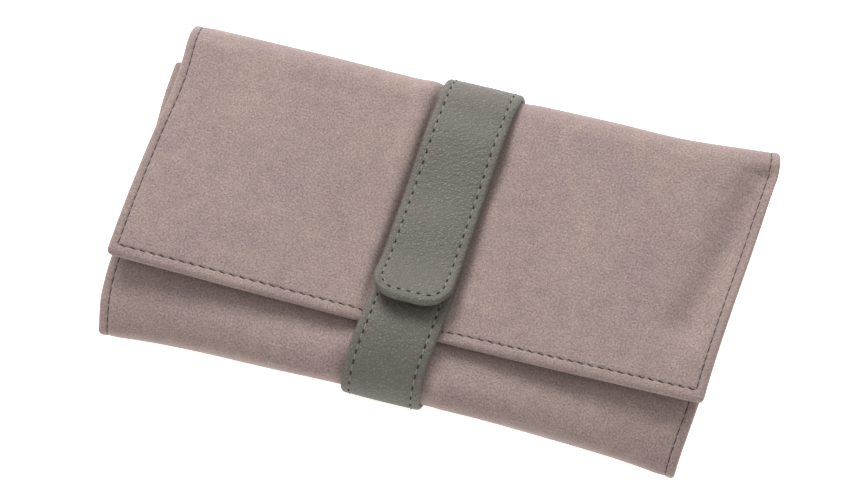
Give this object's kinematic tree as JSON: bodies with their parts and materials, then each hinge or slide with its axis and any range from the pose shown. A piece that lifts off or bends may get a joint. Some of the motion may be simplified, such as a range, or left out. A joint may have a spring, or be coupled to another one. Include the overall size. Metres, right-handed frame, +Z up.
{
  "type": "jewelry roll",
  "caption": "Soft padded suede jewelry roll folded in three, with an inner leaf, a cover flap and a leather strap that closes over it with hidden magnets.",
  "frame": {"origin": "on the ground under the middle of the closed roll", "axes": "+X along the folds, +Y towards the back fold, +Z up"},
  "size_m": [0.22, 0.1304, 0.0395],
  "materials": {
    "suede": "brushed microfibre suede, dusty mauve",
    "foam": "open-cell foam",
    "lining": "short velour",
    "strap_leather": "pebbled, satin grey",
    "magnet": "bare ferrite",
    "zip_tape": "woven tape",
    "zip_coil": "moulded nylon",
    "nickel": "satin nickel"
  },
  "bodies": {
    "base": {"base_cover": "suede", "base_pad": "foam", "base_lining": "lining", "strap_underside": "strap_leather", "pocket_front_panel": "lining", "pocket_back_panel": "lining", "zip_tape_front": "zip_tape", "zip_coil_front": "zip_coil", "zip_top_stop_front": "nickel", "zip_tape_back": "zip_tape", "zip_coil_back": "zip_coil", "zip_top_stop_back": "nickel", "zip_end_stop": "nickel", "ring_roll_1": "lining", "ring_roll_2": "lining", "ring_roll_3": "lining", "ring_roll_4": "lining", "side_pocket": "lining"},
    "back_fold": {"back_fold_cover": "suede", "back_fold_pad": "foam", "back_fold_lining": "lining", "strap_back_wrap": "strap_leather"},
    "flap": {"flap_cover": "suede", "flap_pad": "foam", "flap_lining": "lining", "earring_panel": "strap_leather", "flap_pocket": "lining"},
    "tab": {"tab_lining": "strap_leather", "tab_core": "foam", "tab_face": "strap_leather", "tab_magnet": "magnet"},
    "front_fold": {"front_fold_cover": "suede", "front_fold_pad": "foam", "front_fold_lining": "lining", "strap_front_wrap": "strap_leather"},
    "leaf": {"leaf_cover": "suede", "leaf_pad": "foam", "leaf_lining": "lining", "leaf_pocket": "lining", "leaf_pocket_binding": "strap_leather"},
    "lower_strap": {"lower_strap_lining": "strap_leather", "lower_strap_core": "foam", "lower_strap_face": "strap_leather", "lower_strap_magnet": "magnet"},
    "slider": {"zip_slider": "nickel"},
    "puller": {"zip_puller": "nickel"}
  },
  "joints": [
    {"name": "back_fold_unroll", "type": "hinge", "parent": "base", "child": "back_fold", "pos_m": [0, 0.05968, 0.00552], "axis": [-1, 0, 0], "range_deg": [0, 90], "deforming": ["back_fold_cover", "back_fold_pad", "back_fold_lining", "strap_back_wrap"]},
    {"name": "flap_open", "type": "hinge", "parent": "back_fold", "child": "flap", "pos_m": [0, 0.05968, 0.02978], "axis": [-1, 0, 0], "range_deg": [0, 90]},
    {"name": "tab_lift", "type": "hinge", "parent": "flap", "child": "tab", "pos_m": [0, 0.04725, 0.0348], "axis": [1, 0, 0], "range_deg": [-170, 0]},
    {"name": "front_fold_unroll", "type": "hinge", "parent": "base", "child": "front_fold", "pos_m": [0, -0.06045, 0.00475], "axis": [1, 0, 0], "range_deg": [0, 90], "deforming": ["front_fold_cover", "front_fold_pad", "front_fold_lining", "strap_front_wrap"]},
    {"name": "leaf_open", "type": "hinge", "parent": "front_fold", "child": "leaf", "pos_m": [0, -0.06045, 0.02345], "axis": [1, 0, 0], "range_deg": [0, 90], "deforming": ["leaf_cover", "leaf_pad", "leaf_lining", "leaf_pocket", "leaf_pocket_binding"]},
    {"name": "lower_strap_swing", "type": "hinge", "parent": "leaf", "child": "lower_strap", "pos_m": [0, -0.0584, 0.0256], "axis": [-1, 0, 0], "range_deg": [-170, 0], "deforming": ["lower_strap_lining", "lower_strap_core", "lower_strap_face"]},
    {"name": "zip_slide", "type": "slide", "parent": "base", "child": "slider", "axis": [-1, 0, 0], "range_m": [0, 0.17]},
    {"name": "zip_puller_flip", "type": "hinge", "parent": "slider", "child": "puller", "pos_m": [0.0855, 0.028, 0.0113], "axis": [0, -1, 0], "range_deg": [0, 180]}
  ],
  "couplings": [
    {"joint": "back_fold_unroll", "follows": "flap_open", "ratio": 1},
    {"joint": "front_fold_unroll", "follows": "leaf_open", "ratio": 1}
  ]
}
